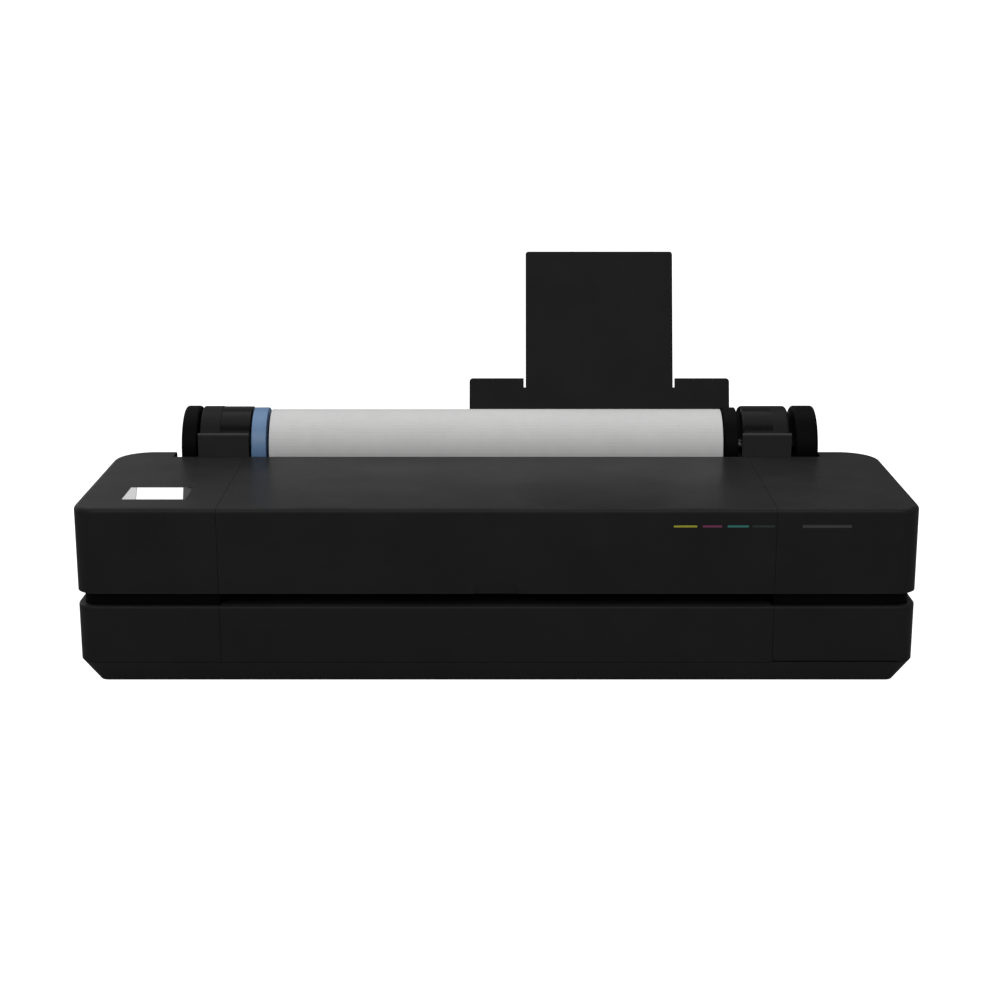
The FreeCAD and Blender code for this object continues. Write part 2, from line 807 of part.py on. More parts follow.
def feedRoller():
    tyre = barX(feedRadius, -312, 312, feedY, feedZ)
    shaft = barX(feedShaft, -frameX - frameThick, frameX + frameThick, feedY, feedZ)
    wheel = barX(feedPulley, driveX, driveX + 5.5, feedY, feedZ)
    return joined([tyre, shaft, wheel])


def pinchRollers():
    z = feedZ + feedRadius + pinchRadius + nip
    rod = barX(1.5, -316, 316, feedY, z)
    tyres = [barX(pinchRadius, x - 20, x + 20, feedY, z) for x in range(-280, 281, 80)]
    return joined([rod] + tyres)


def outputRoller():
    shaft = barX(outShaft, -frameX - frameThick, frameX + frameThick, outY, outZ)
    tyres = [barX(outRadius, x - 25, x + 25, outY, outZ) for x in range(-270, 271, 90)]
    return joined([shaft] + tyres)


def platen():
    """Flat print bed with two roller gaps, then a chute that falls to the output slot."""
    profile = [
        (-226, 104.2), (-150, 110), (-138, 122), (-112, 126), (-112, platenZ), (-64, platenZ),
        (-64, 124), (-112, 120), (-136, 116), (-150, 106.5), (-226, 101.9),
    ]
    half = 330
    bed = extruded(profile, -half, half)
    chute = [(6, 125), (6, platenZ), (30, 141), (47, 160), (50, 160), (32, 137.5)]
    bend = extruded(chute, -half, half)
    rear = box(-half, half, -34, 8, platenZ - 3, platenZ)
    ribs = [box(x - 2, x + 2, -150, 7, baseZ + wall, platenZ - 8) for x in (-325, 0, 325)]
    ribs += [box(x - 2, x + 2, -34, 7, 110, platenZ - 1) for x in (-325, 0, 325)]
    bed = joined([bed, bend, rear] + ribs)
    gaps = [
        barX(feedRadius + 1.2, -318, 318, feedY, feedZ),
        barX(feedShaft + 1.0, -340, 340, feedY, feedZ),
        barX(outRadius + 1.2, -340, 340, outY, outZ),
    ]
    return cut(bed, gaps)


def cutter():
    block = box(304, 328, cutterY - 8, cutterY + 8, 134, cutterRailZ + 8)
    blade = barY(7.0, cutterY - 10, cutterY - 7, 316, 137)
    return joined([block, blade]).cut(squareRail(300, 330, 0.3))


def serviceStation():
    shell = box(346, 425, -108, -40, baseZ + wall, 124)
    shell = joined([shell, box(424, 438, -108, -40, 12, 124)])
    shell = shell.cut(box(350, 434, -104, -60, 60, 125))
    return shell.cut(barX(9.0, 340, 441, feedY, feedZ))


def serviceCap():
    rim = box(356, 428, -102, -66, 100, 131)
    return rim.cut(box(359, 425, -99, -69, 122, 132))


def inkCartridge(index):
    x0 = cartridgeStart + index * cartridgePitch
    body = box(
        x0, x0 + cartridgeWidth, cartridgeFrontY, cartridgeBackY,
        cartridgeZ, cartridgeZ + cartridgeHeight,
    )
    grip = box(x0 + 4, x0 + 20, cartridgeFrontY - 1.5, cartridgeFrontY + 1, 52, 85)
    vertical = edgesWhere(body, lambda b: flat(b.YMin, b.YMax) and flat(b.XMin, b.XMax))
    return joined([body.makeFillet(2.5, vertical), grip])


def mainBoard():
    board = box(-472, -470.4, -180, 100, 45, 160)
    chips = [(-150, 60), (-60, 100), (20, 70), (-100, 130)]
    parts = [box(-470.5, -466, y, y + 32, z, z + 24) for y, z in chips]
    stands = [box(-476, -471.5, y, y + 8, 5, 60) for y in (-170, 80)]
    return joined([board] + parts + stands)


def powerSupply():
    case = box(-425, -350, 36, 110, baseZ + wall, 95)
    vents = [box(-400 + 8 * k, -397 + 8 * k, 50, 96, 94, 96) for k in range(5)]
    return cut(case, vents)


def socketPanel():
    """Plate in the rear wall with the mains inlet, network socket and USB socket."""
    y1 = rearY - 0.4
    plate = box(*panelX, y1 - 2.5, y1, *panelZ)
    cups = [
        box(inletX - 16, inletX + 16, y1 - 26, y1 - 1, 50, 76),
        box(networkX - 10, networkX + 10, y1 - 20, y1 - 1, 53, 71),
        box(usbX - 9, usbX + 9, y1 - 20, y1 - 1, 53, 69),
        box(buttonX - 8, buttonX + 8, y1 - 10, y1 - 1, 56, 72),
    ]
    holes = [
        box(inletX - 13.8, inletX + 13.8, y1 - 23, y1 + 1, 52.4, 73.6),
        box(networkX - 7.6, networkX + 7.6, y1 - 17, y1 + 1, 55.4, 68.6),
        box(usbX - 6.5, usbX + 6.5, y1 - 17, y1 + 1, 55, 67),
        barY(6.3, y1 - 8, y1 + 1, buttonX, buttonZ),
    ]
    blades = [(inletX - 7, 57), (inletX + 7, 57), (inletX, 64)]
    pins = [box(x - 1, x + 1, y1 - 24, y1 - 7, z, z + 6) for x, z in blades]
    return joined([cut(joined([plate] + cups), holes)] + pins)


def powerButton():
    y1 = rearY - 0.4
    cap = barY(6.0, y1 - 5, y1 + 0.4, buttonX, buttonZ)
    rim = edgesWhere(cap, lambda b: b.YMin > y1)
    return cap.makeFillet(0.6, rim)


def touchDisplay():
    grow = 0.15
    glass = box(
        displayX - displayW / 2 + grow, displayX + displayW / 2 - grow,
        displayY - displayD / 2 + grow, displayY + displayD / 2 - grow, deckZ - 2.2, deckZ,
    )
    corners = edgesWhere(glass, lambda b: flat(b.XMin, b.XMax) and flat(b.YMin, b.YMax))
    return glass.makeFillet(0.6, corners)


def displayModule():
    tray = box(
        displayX - displayW / 2 - 6, displayX + displayW / 2 + 6,
        displayY - displayD / 2 - 6, displayY + displayD / 2 + 6, deckZ - 14, deckZ - wall,
    )
    return joined([tray, box(
        displayX - displayW / 2 + 1, displayX + displayW / 2 - 1,
        displayY - displayD / 2 + 1, displayY + displayD / 2 - 1, deckZ - wall - 1, deckZ - 2.2,
    )])


pieces = {
    "base_pan": basePan,
    "rubber_feet": rubberFeet,
    "frame_screws": frameScrews,
    "lower_left_cover": lowerLeftCover,
    "lower_front_cover": lowerFrontCover,
    "lower_right_cover": lowerRightCover,
    "ink_door": inkDoor,
    "hinge_pins": hingePins,
    "waist_band": waistBand,
    "upper_left_cover": upperLeftCover,
    "upper_right_cover": upperRightCover,
    "main_lid": mainLid,
    "rear_housing": rearHousing,
    "roll_cradles": rollCradles,
    "touch_display": touchDisplay,
    "display_module": displayModule,
    "name_badge": badgePlate,
    "spindle_shaft": spindleShaft,
    "left_end_disc": lambda: endDisc(-426.5, -405.0, -426.5),
    "right_end_disc": lambda: endDisc(404.0, 434.6, 434.6),
    "left_spindle_hub": leftHub,
    "right_spindle_hub": rightHub,
    "blue_stop": blueStop,
    "roll_flange": rollFlange,
    "paper_core": paperCore,
    "paper_roll": paperRoll,
    "sheet_tray": sheetTray,
    "tray_extension": trayExtension,
    "sheet_guide": sheetGuide,
    "pick_roller": pickRoller,
    "end_frames": endFrames,
    "cross_beam": crossBeam,
    "guide_rails": guideRails,
    "carriage": carriage,
    "printheads": printheads,
    "carriage_belt": carriageBelt,
    "drive_motors": driveMotors,
    "belt_pulley": beltPulley,
    "idler_pulley": idlerPulley,
    "platen": platen,
    "feed_roller": feedRoller,
    "pinch_rollers": pinchRollers,
    "output_roller": outputRoller,
    "motor_pulley": motorPulley,
    "feed_belt": feedBelt,
    "cutter": cutter,
    "service_station": serviceStation,
    "service_cap": serviceCap,
    "main_board": mainBoard,
    "power_supply": powerSupply,
    "socket_panel": socketPanel,
    "power_button": powerButton,
}
for colour in inkMarks:
    pieces["ink_mark_" + colour] = lambda colour=colour: inkMark(colour)
for index, colour in enumerate(cartridgeColours):
    pieces["ink_cartridge_" + colour] = lambda index=index: inkCartridge(index)

whole = None
for name, make in pieces.items():
    shape = make()
    shape.exportStep("parts/" + name + ".step")
    box0 = shape.BoundBox
    whole = box0 if whole is None else whole.united(box0)
    print(name, len(shape.Solids), shape.isValid(), round(shape.Volume / 1000, 1))
print("middle", round(whole.Center.x, 2), round(whole.Center.y, 2), "base", round(whole.ZMin, 2))
print("size", round(whole.XLength, 2), round(whole.YLength, 2), round(whole.ZLength, 2))
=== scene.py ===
import bmesh
import bpy
import json
import math
from mathutils import Matrix, Vector


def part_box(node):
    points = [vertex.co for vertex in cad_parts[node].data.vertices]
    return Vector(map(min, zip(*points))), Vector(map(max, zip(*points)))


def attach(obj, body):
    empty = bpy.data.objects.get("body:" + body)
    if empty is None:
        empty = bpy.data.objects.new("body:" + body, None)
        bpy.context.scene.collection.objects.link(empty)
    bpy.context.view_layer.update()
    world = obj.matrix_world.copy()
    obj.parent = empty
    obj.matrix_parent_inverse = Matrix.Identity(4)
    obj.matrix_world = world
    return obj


# Large format plotter: finishes, small surface detail, light and camera.
# The frame's own parts keep their shape; lengths here are in metres.

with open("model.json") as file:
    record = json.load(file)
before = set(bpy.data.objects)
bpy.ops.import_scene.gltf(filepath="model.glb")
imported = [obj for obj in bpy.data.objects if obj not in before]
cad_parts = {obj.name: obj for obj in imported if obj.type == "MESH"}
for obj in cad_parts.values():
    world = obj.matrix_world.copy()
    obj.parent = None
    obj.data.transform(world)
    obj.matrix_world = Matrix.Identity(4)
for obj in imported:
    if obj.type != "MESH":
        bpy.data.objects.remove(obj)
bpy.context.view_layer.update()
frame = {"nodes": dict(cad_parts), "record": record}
nodes = frame["nodes"]
print("frame loaded:", len(nodes), "parts")


def newGroup(name, inputs, outputs):
    group = bpy.data.node_groups.new(name, "ShaderNodeTree")
    for socketName, kind, value in inputs:
        socket = group.interface.new_socket(socketName, in_out="INPUT", socket_type=kind)
        if value is not None:
            socket.default_value = value
    for socketName, kind in outputs:
        group.interface.new_socket(socketName, in_out="OUTPUT", socket_type=kind)
    start = group.nodes.new("NodeGroupInput")
    end = group.nodes.new("NodeGroupOutput")
    return group, start, end


def mathNode(tree, operation, a, b=0.0, clamp=False):
    node = tree.nodes.new("ShaderNodeMath")
    node.operation = operation
    node.use_clamp = clamp
    for index, value in enumerate((a, b)):
        if isinstance(value, (int, float)):
            node.inputs[index].default_value = value
        else:
            tree.links.new(value, node.inputs[index])
    return node.outputs[0]


def noiseNode(tree, vector, scale, detail=3.0, roughness=0.5):
    node = tree.nodes.new("ShaderNodeTexNoise")
    node.inputs["Detail"].default_value = detail
    node.inputs["Roughness"].default_value = roughness
    if isinstance(scale, (int, float)):
        node.inputs["Scale"].default_value = scale
    else:
        tree.links.new(scale, node.inputs["Scale"])
    tree.links.new(vector, node.inputs["Vector"])
    return node.outputs["Fac"]


def mixColour(tree, factor, a, b, blend="MIX"):
    node = tree.nodes.new("ShaderNodeMix")
    node.data_type = "RGBA"
    node.blend_type = blend
    for socket, value in ((node.inputs[0], factor), (node.inputs[6], a), (node.inputs[7], b)):
        if isinstance(value, (int, float)):
            socket.default_value = value
        elif isinstance(value, tuple):
            socket.default_value = value
        else:
            tree.links.new(value, socket)
    return node.outputs[2]


def rangeNode(tree, value, fromLow, fromHigh, toLow, toHigh):
    node = tree.nodes.new("ShaderNodeMapRange")
    tree.links.new(value, node.inputs["Value"])
    for socketName, number in (
        ("From Min", fromLow), ("From Max", fromHigh), ("To Min", toLow), ("To Max", toHigh),
    ):
        if isinstance(number, (int, float)):
            node.inputs[socketName].default_value = number
        else:
            tree.links.new(number, node.inputs[socketName])
    return node.outputs["Result"]


noiseSpan = (0.3, 0.7)  # where most of a noise's values lie


def spread(tree, noise, low, high):
    return rangeNode(tree, noise, noiseSpan[0], noiseSpan[1], low, high)


def axesOf(tree, vector):
    node = tree.nodes.new("ShaderNodeSeparateXYZ")
    tree.links.new(vector, node.inputs[0])
    return node.outputs


def mapped(tree, vector, scale=(1.0, 1.0, 1.0), location=(0.0, 0.0, 0.0)):
    node = tree.nodes.new("ShaderNodeMapping")
    node.inputs["Scale"].default_value = scale
    node.inputs["Location"].default_value = location
    tree.links.new(vector, node.inputs["Vector"])
    return node.outputs["Vector"]


def multiply(tree, a, b, clamp=False):
    return mathNode(tree, "MULTIPLY", a, b, clamp)


grainLook = {
    "pitDetail": 2.0, "pitRough": 0.6, "pitShare": 0.7,
    "lumpScale": 0.31, "lumpDetail": 1.0, "lumpRough": 0.5, "lumpShare": 0.3,
    "patchDetail": 4.0, "patchRough": 0.62,
}


def makeMouldGrain():
    # spark-eroded mould texture: fine pits for the bump, slow patches for colour and gloss
    look = grainLook
    group, start, end = newGroup(
        "mouldGrain",
        [("Vector", "NodeSocketVector", None), ("Pit Scale", "NodeSocketFloat", 1400.0),
         ("Patch Scale", "NodeSocketFloat", 9.0)],
        [("Height", "NodeSocketFloat"), ("Patches", "NodeSocketFloat")],
    )
    place, pitScale = start.outputs["Vector"], start.outputs["Pit Scale"]
    pits = noiseNode(group, place, pitScale, look["pitDetail"], look["pitRough"])
    lumpScale = multiply(group, pitScale, look["lumpScale"])
    lumps = noiseNode(group, place, lumpScale, look["lumpDetail"], look["lumpRough"])
    fine = multiply(group, pits, look["pitShare"])
    coarse = multiply(group, lumps, look["lumpShare"])
    patchScale = start.outputs["Patch Scale"]
    patches = noiseNode(group, place, patchScale, look["patchDetail"], look["patchRough"])
    group.links.new(mathNode(group, "ADD", fine, coarse), end.inputs["Height"])
    group.links.new(spread(group, patches, 0.0, 1.0), end.inputs["Patches"])
    return group


wearLook = {
    "samples": 4, "bendFrom": 0.02, "bendTo": 0.22,
    "breakDetail": 4.0, "breakRough": 0.6, "breakFrom": 0.38, "breakTo": 0.62, "least": 0.15,
}


def makeEdgeWear():
    # rubbed rims: where a rounded normal leaves the flat one, broken up by noise
    look = wearLook
    group, start, end = newGroup(
        "edgeWear",
        [("Vector", "NodeSocketVector", None), ("Width", "NodeSocketFloat", 0.0012),
         ("Breakup", "NodeSocketFloat", 60.0)],
        [("Mask", "NodeSocketFloat")],
    )
    rounded = group.nodes.new("ShaderNodeBevel")
    rounded.samples = look["samples"]
    group.links.new(start.outputs["Width"], rounded.inputs["Radius"])
    plain = group.nodes.new("ShaderNodeNewGeometry")
    dot = group.nodes.new("ShaderNodeVectorMath")
    dot.operation = "DOT_PRODUCT"
    group.links.new(rounded.outputs["Normal"], dot.inputs[0])
    group.links.new(plain.outputs["Normal"], dot.inputs[1])
    bend = mathNode(group, "SUBTRACT", 1.0, dot.outputs["Value"])
    mask = rangeNode(group, bend, look["bendFrom"], look["bendTo"], 0.0, 1.0)
    place, breakup = start.outputs["Vector"], start.outputs["Breakup"]
    noise = noiseNode(group, place, breakup, look["breakDetail"], look["breakRough"])
    broken = rangeNode(group, noise, look["breakFrom"], look["breakTo"], look["least"], 1.0)
    group.links.new(multiply(group, mask, broken, True), end.inputs["Mask"])
    return group


dustLook = {
    "upFrom": 0.6, "least": 0.3,
    "speckScale": 420.0, "speckDetail": 3.0, "speckRough": 0.7, "speckFrom": 0.5, "speckTo": 0.75,
    "driftScale": 14.0, "driftDetail": 4.0, "driftRough": 0.6, "driftFrom": 0.35, "driftTo": 0.7,
}


def makeDustFall():
    # a trace of dust, only on faces that look up
    look = dustLook
    group, start, end = newGroup(
        "dustFall",
        [("Vector", "NodeSocketVector", None), ("Amount", "NodeSocketFloat", 0.1)],
        [("Mask", "NodeSocketFloat")],
    )
    geometry = group.nodes.new("ShaderNodeNewGeometry")
    facing = axesOf(group, geometry.outputs["Normal"])
    upward = rangeNode(group, facing["Z"], look["upFrom"], 1.0, 0.0, 1.0)
    place = start.outputs["Vector"]
    specks = noiseNode(group, place, look["speckScale"], look["speckDetail"], look["speckRough"])
    drift = noiseNode(group, place, look["driftScale"], look["driftDetail"], look["driftRough"])
    thick = multiply(
        group,
        rangeNode(group, specks, look["speckFrom"], look["speckTo"], look["least"], 1.0),
        rangeNode(group, drift, look["driftFrom"], look["driftTo"], 0.0, 1.0),
    )
    fallen = multiply(group, upward, thick)
    mask = multiply(group, fallen, start.outputs["Amount"], True)
    group.links.new(mask, end.inputs["Mask"])
    return group


mouldGrain = makeMouldGrain()
edgeWear = makeEdgeWear()
dustFall = makeDustFall()


def placeGroup(tree, group, **values):
    node = tree.nodes.new("ShaderNodeGroup")
    node.node_tree = group
    for key, value in values.items():
        socket = node.inputs[key.replace("_", " ")]
        if isinstance(value, (int, float)):
            socket.default_value = value
        else:
            tree.links.new(value, socket)
    return node


def emptyMaterial(name):
    material = bpy.data.materials.new(name)
    material.use_nodes = True
    tree = material.node_tree
    shader = tree.nodes["Principled BSDF"]
    place = tree.nodes.new("ShaderNodeTexCoord").outputs["Object"]
    return material, tree, shader, place


def grey(value, tint=(1.0, 1.0, 1.0)):
    return (value * tint[0], value * tint[1], value * tint[2], 1.0)


def shadeOf(colour, factor, most=1.0):
    return tuple(min(channel * factor, most) for channel in colour[:3]) + (1.0,)


def bumpFrom(tree, shader, height, strength, distance):
    bump = tree.nodes.new("ShaderNodeBump")
    bump.inputs["Strength"].default_value = strength
    bump.inputs["Distance"].default_value = distance
    tree.links.new(height, bump.inputs["Height"])
    tree.links.new(bump.outputs["Normal"], shader.inputs["Normal"])


dustColour = grey(0.30, (1.0, 0.98, 0.94))
patchShade = 0.82
grainDepth = 0.0002
collarSeam = 0.0003

plasticFinish = {
    "caseBlack": {"colour": grey(0.0172, (1.0, 1.0, 1.02)), "worn": grey(0.024), "rough": (0.32, 0.40),
                  "specular": 0.07, "pits": 1500.0, "bump": 0.10, "wear": 0.0010, "dust": 0.05},
    "panBlack": {"colour": grey(0.0260), "worn": grey(0.040), "rough": (0.40, 0.50),
                 "specular": 0.13, "pits": 1300.0, "bump": 0.12, "wear": 0.0010, "dust": 0.05},
    "platenBlack": {"colour": grey(0.0030), "worn": grey(0.008), "rough": (0.50, 0.60),
                    "specular": 0.10, "pits": 1200.0, "bump": 0.10, "wear": 0.0006, "dust": 0.04},
    "bandBlack": {"colour": grey(0.0010), "worn": grey(0.003), "rough": (0.55, 0.65),
                  "specular": 0.06, "pits": 1100.0, "bump": 0.12, "wear": 0.0008, "dust": 0.0},
    "cradleBlack": {"colour": grey(0.0185), "worn": grey(0.030), "rough": (0.42, 0.52),
                    "specular": 0.30, "pits": 1300.0, "bump": 0.12, "wear": 0.0010, "dust": 0.05},
    "hubGloss": {"colour": grey(0.0030), "worn": grey(0.010), "rough": (0.20, 0.28),
                 "specular": 0.10, "pits": 500.0, "bump": 0.02, "wear": 0.0008, "dust": 0.04,
                 "collarFrom": 0.374, "collar": grey(0.0070), "collarRough": 0.46},
    "discSatin": {"colour": grey(0.0020), "worn": grey(0.008), "rough": (0.46, 0.56),
                  "specular": 0.035, "pits": 1300.0, "bump": 0.08, "wear": 0.0012, "dust": 0.06},
    "stopBlue": {"colour": grey(0.27, (0.52, 0.93, 1.62)), "worn": grey(0.36, (0.62, 0.95, 1.4)),
                 "rough": (0.36, 0.46), "specular": 0.45, "pits": 1300.0, "bump": 0.08,
                 "wear": 0.0010, "dust": 0.05},
    "trayBlack": {"colour": grey(0.0040), "worn": grey(0.012), "rough": (0.46, 0.56),
                  "specular": 0.12, "pits": 1500.0, "bump": 0.10, "wear": 0.0008, "dust": 0.04},
    "innerGrey": {"colour": grey(0.045), "worn": grey(0.09), "rough": (0.42, 0.55),
                  "specular": 0.4, "pits": 1200.0, "bump": 0.12, "wear": 0.0008, "dust": 0.12},
    "headBlack": {"colour": grey(0.018), "worn": grey(0.04), "rough": (0.22, 0.32),
                  "specular": 0.5, "pits": 900.0, "bump": 0.05, "wear": 0.0006, "dust": 0.08},
    "pulleyWhite": {"colour": grey(0.58, (1.0, 0.98, 0.93)), "worn": grey(0.4), "rough": (0.35, 0.5),
                    "specular": 0.45, "pits": 1200.0, "bump": 0.06, "wear": 0.0004, "dust": 0.1},
    "socketBlack": {"colour": grey(0.012), "worn": grey(0.03), "rough": (0.4, 0.5),
                    "specular": 0.4, "pits": 1300.0, "bump": 0.1, "wear": 0.0006, "dust": 0.1},
    "badgeGrey": {"colour": grey(0.045), "worn": grey(0.08), "rough": (0.3, 0.4),
                  "specular": 0.5, "pits": 1800.0, "bump": 0.04, "wear": 0.0003, "dust": 0.0},
    "markYellow": {"colour": (0.42, 0.40, 0.03, 1.0), "worn": (0.5, 0.48, 0.1, 1.0), "rough": (0.35, 0.45),
                   "specular": 0.4, "pits": 1800.0, "bump": 0.03, "wear": 0.0003, "dust": 0.0},
    "markMagenta": {"colour": (0.20, 0.035, 0.10, 1.0), "worn": (0.3, 0.07, 0.16, 1.0), "rough": (0.35, 0.45),
                    "specular": 0.4, "pits": 1800.0, "bump": 0.03, "wear": 0.0003, "dust": 0.0},
    "markCyan": {"colour": (0.03, 0.20, 0.17, 1.0), "worn": (0.08, 0.3, 0.26, 1.0), "rough": (0.35, 0.45),
                 "specular": 0.4, "pits": 1800.0, "bump": 0.03, "wear": 0.0003, "dust": 0.0},
    "markBlack": {"colour": (0.022, 0.035, 0.030, 1.0), "worn": (0.05, 0.07, 0.06, 1.0), "rough": (0.35, 0.45),
                  "specular": 0.4, "pits": 1800.0, "bump": 0.03, "wear": 0.0003, "dust": 0.0},
}


def plastic(name):
    look = plasticFinish[name]
    material, tree, shader, place = emptyMaterial(name)
    grain = placeGroup(tree, mouldGrain, Vector=place, Pit_Scale=look["pits"])
    wear = placeGroup(tree, edgeWear, Vector=place, Width=look["wear"])
    dark = shadeOf(look["colour"], patchShade)
    patches = grain.outputs["Patches"]
    body = mixColour(tree, patches, dark, look["colour"])
    rubbed = mixColour(tree, wear.outputs["Mask"], body, look["worn"])
    if look["dust"] > 0:
        dust = placeGroup(tree, dustFall, Vector=place, Amount=look["dust"])
        rubbed = mixColour(tree, dust.outputs["Mask"], rubbed, dustColour)
    low, high = look["rough"]
    gloss = rangeNode(tree, patches, 0.0, 1.0, low, high)
    if "collar" in look:
        # the outer collar of a hub is satin, its neck is polished
        outward = mathNode(tree, "ABSOLUTE", axesOf(tree, place)["X"])
        seam = look["collarFrom"]
        beyond = rangeNode(tree, outward, seam, seam + collarSeam, 0.0, 1.0)
        rubbed = mixColour(tree, beyond, rubbed, look["collar"])
        gloss = rangeNode(tree, beyond, 0.0, 1.0, gloss, look["collarRough"])
    tree.links.new(rubbed, shader.inputs["Base Color"])
    tree.links.new(gloss, shader.inputs["Roughness"])
    shader.inputs["Specular IOR Level"].default_value = look["specular"]
    bumpFrom(tree, shader, grain.outputs["Height"], look["bump"], grainDepth)
    return material


metalEdge = {"width": 0.0005, "brighter": 1.4, "most": 0.9, "lineShade": 0.7, "bump": 0.05}

metalFinish = {
    "turnedSteel": {"colour": grey(0.56), "rough": (0.22, 0.36), "stretch": (4.0, 900.0, 900.0)},
    "zincSheet": {"colour": grey(0.50, (0.97, 1.0, 1.02)), "rough": (0.30, 0.48),
                  "stretch": (60.0, 60.0, 60.0)},
    "screwSteel": {"colour": grey(0.42), "rough": (0.25, 0.4), "stretch": (300.0, 300.0, 300.0)},
    "motorCase": {"colour": grey(0.06), "rough": (0.32, 0.45), "stretch": (90.0, 90.0, 90.0)},
    "supplyCase": {"colour": grey(0.34), "rough": (0.32, 0.5), "stretch": (50.0, 50.0, 50.0)},
}


def metal(name):
    look = metalFinish[name]
    material, tree, shader, place = emptyMaterial(name)
    lines = noiseNode(tree, mapped(tree, place, look["stretch"]), 1.0, 4.0, 0.6)
    wear = placeGroup(tree, edgeWear, Vector=place, Width=metalEdge["width"])
    dark = shadeOf(look["colour"], metalEdge["lineShade"])
    body = mixColour(tree, spread(tree, lines, 0.0, 1.0), dark, look["colour"])
    bright = shadeOf(look["colour"], metalEdge["brighter"], metalEdge["most"])
    rubbed = mixColour(tree, wear.outputs["Mask"], body, bright)
    tree.links.new(rubbed, shader.inputs["Base Color"])
    low, high = look["rough"]
    tree.links.new(spread(tree, lines, low, high), shader.inputs["Roughness"])
    shader.inputs["Metallic"].default_value = 1.0
    bumpFrom(tree, shader, lines, metalEdge["bump"], grainDepth)
    return material


rubberLook = {
    "dark": grey(0.014), "light": grey(0.026), "dustColour": grey(0.2), "dust": 0.25,
    "pits": 700.0, "rough": (0.6, 0.8), "specular": 0.3, "bump": 0.3, "depth": 0.0003,
}


def rubber(name):
    look = rubberLook
    material, tree, shader, place = emptyMaterial(name)
    grain = placeGroup(tree, mouldGrain, Vector=place, Pit_Scale=look["pits"])
    patches = grain.outputs["Patches"]
    body = mixColour(tree, patches, look["dark"], look["light"])
    dust = placeGroup(tree, dustFall, Vector=place, Amount=look["dust"])
    dusty = mixColour(tree, dust.outputs["Mask"], body, look["dustColour"])
    tree.links.new(dusty, shader.inputs["Base Color"])
    low, high = look["rough"]
    tree.links.new(rangeNode(tree, patches, 0.0, 1.0, low, high), shader.inputs["Roughness"])
    shader.inputs["Specular IOR Level"].default_value = look["specular"]
    bumpFrom(tree, shader, grain.outputs["Height"], look["bump"], look["depth"])
    return material


paperLook = {
    "colour": grey(0.75, (1.0, 1.0, 0.985)), "cloudShade": 0.955, "fibre": 900.0, "cockle": 16.0,
    "turnPitch": 9000.0, "turnShade": grey(0.55), "slackScale": 60.0, "leastTurn": 0.2,
    "rough": (0.55, 0.7), "specular": 0.3, "bump": 0.12,
}


def paperSheet(name, axisY, axisZ, wound):
    # smooth bond paper; wound ends show the edges of the turns as fine rings
    look = paperLook
    material, tree, shader, place = emptyMaterial(name)
    fibres = noiseNode(tree, place, look["fibre"], 4.0, 0.7)
    cloud = noiseNode(tree, place, look["cockle"], 3.0, 0.5)
    dark = shadeOf(look["colour"], look["cloudShade"])
    body = mixColour(tree, spread(tree, cloud, 0.0, 1.0), dark, look["colour"])
    height = fibres
    if wound:
        axes = axesOf(tree, mapped(tree, place, location=(0.0, -axisY, -axisZ)))
        across = mathNode(tree, "POWER", axes["Y"], 2.0)
        up = mathNode(tree, "POWER", axes["Z"], 2.0)
        radius = mathNode(tree, "SQRT", mathNode(tree, "ADD", across, up))
        turns = mathNode(tree, "SINE", multiply(tree, radius, look["turnPitch"]))
        slack = noiseNode(tree, place, look["slackScale"], 3.0, 0.6)
        height = multiply(tree, turns, spread(tree, slack, look["leastTurn"], 1.0))
        shown = rangeNode(tree, height, -1.0, 1.0, 0.0, 1.0)
        body = mixColour(tree, shown, look["turnShade"], body)
    tree.links.new(body, shader.inputs["Base Color"])
    low, high = look["rough"]
    tree.links.new(spread(tree, fibres, low, high), shader.inputs["Roughness"])
    shader.inputs["Specular IOR Level"].default_value = look["specular"]
    bumpFrom(tree, shader, height, look["bump"], grainDepth)
    return material


cardLook = {
    "dark": (0.25, 0.16, 0.09, 1.0), "light": (0.42, 0.30, 0.18, 1.0), "stretch": (300.0, 40.0, 40.0),
    "fibre": 4.0, "rough": (0.75, 0.95), "bump": 0.3, "depth": 0.0003,
}


def cardboard(name):
    look = cardLook
    material, tree, shader, place = emptyMaterial(name)
    fibres = noiseNode(tree, mapped(tree, place, look["stretch"]), look["fibre"], 5.0, 0.7)
    body = mixColour(tree, fibres, look["dark"], look["light"])
    tree.links.new(body, shader.inputs["Base Color"])
    low, high = look["rough"]
    tree.links.new(spread(tree, fibres, low, high), shader.inputs["Roughness"])
    bumpFrom(tree, shader, fibres, look["bump"], look["depth"])
    return material


boardLook = {
    "cells": 160.0, "trackFrom": 0.28, "trackTo": 0.33,
    "gap": (0.02, 0.12, 0.05, 1.0), "track": (0.035, 0.20, 0.09, 1.0), "chip": grey(0.02),
    "chipFrom": -0.4703, "chipTo": -0.4701, "rough": (0.25, 0.4), "bump": 0.2, "depth": 0.0001,
}


def circuitBoard(name):
    look = boardLook
    material, tree, shader, place = emptyMaterial(name)
    cells = tree.nodes.new("ShaderNodeTexVoronoi")
    cells.distance = "CHEBYCHEV"
    cells.inputs["Scale"].default_value = look["cells"]
    tree.links.new(place, cells.inputs["Vector"])
    spacing = cells.outputs["Distance"]
    tracks = rangeNode(tree, spacing, look["trackFrom"], look["trackTo"], 0.0, 1.0)
    body = mixColour(tree, tracks, look["gap"], look["track"])
    raised = axesOf(tree, place)["X"]
    chip = rangeNode(tree, raised, look["chipFrom"], look["chipTo"], 0.0, 1.0)
    tree.links.new(mixColour(tree, chip, body, look["chip"]), shader.inputs["Base Color"])
    low, high = look["rough"]
    tree.links.new(rangeNode(tree, tracks, 0.0, 1.0, low, high), shader.inputs["Roughness"])
    bumpFrom(tree, shader, tracks, look["bump"], look["depth"])
    return material


